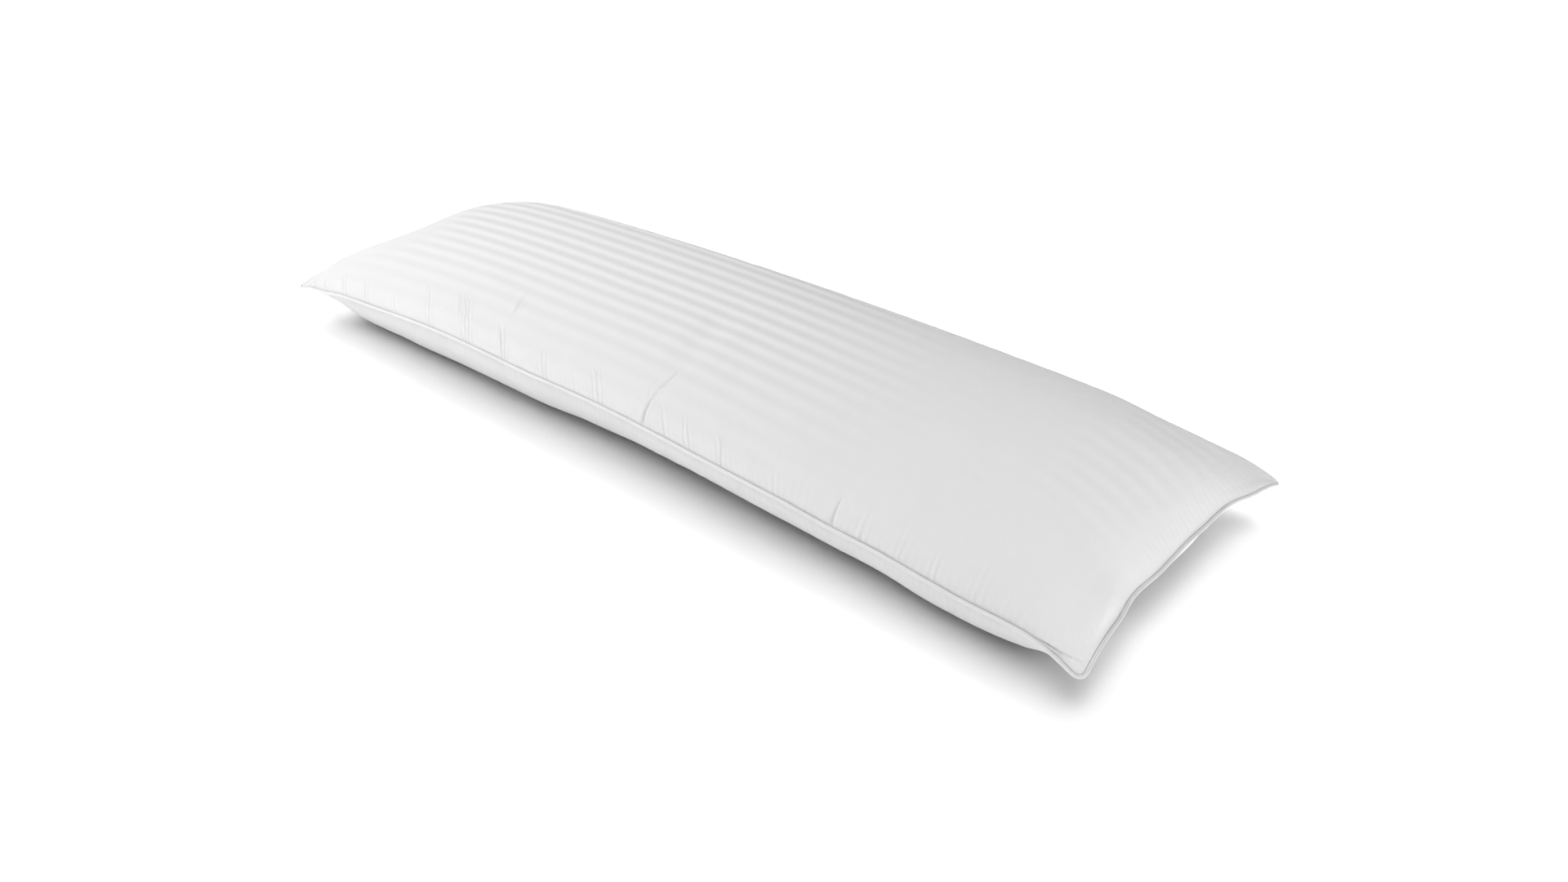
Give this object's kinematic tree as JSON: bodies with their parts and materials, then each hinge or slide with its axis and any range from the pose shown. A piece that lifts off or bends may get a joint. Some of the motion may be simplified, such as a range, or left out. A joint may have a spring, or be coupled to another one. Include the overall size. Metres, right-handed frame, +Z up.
{
  "type": "down body pillow",
  "caption": "Long down pillow for a bed: two striped panels sewn round a piped edge and filled, with a soft crown, drawn-in sides and flat drooping ears at its corners.",
  "frame": {"origin": "on the surface that the pillow lies on, under the middle of its outline", "axes": "+X along the pillow, +Y across it to its far long side, +Z up through its crown"},
  "size_m": [1.5115, 0.4853, 0.1568],
  "materials": {
    "cover": "white cotton, woven in lengthwise satin and plain stripes, softly matt",
    "piping": "white cotton bias strip over a thin cord, matt"
  },
  "bodies": {
    "root": {"filled_cover": "cover", "piping": "piping"}
  },
  "joints": []
}
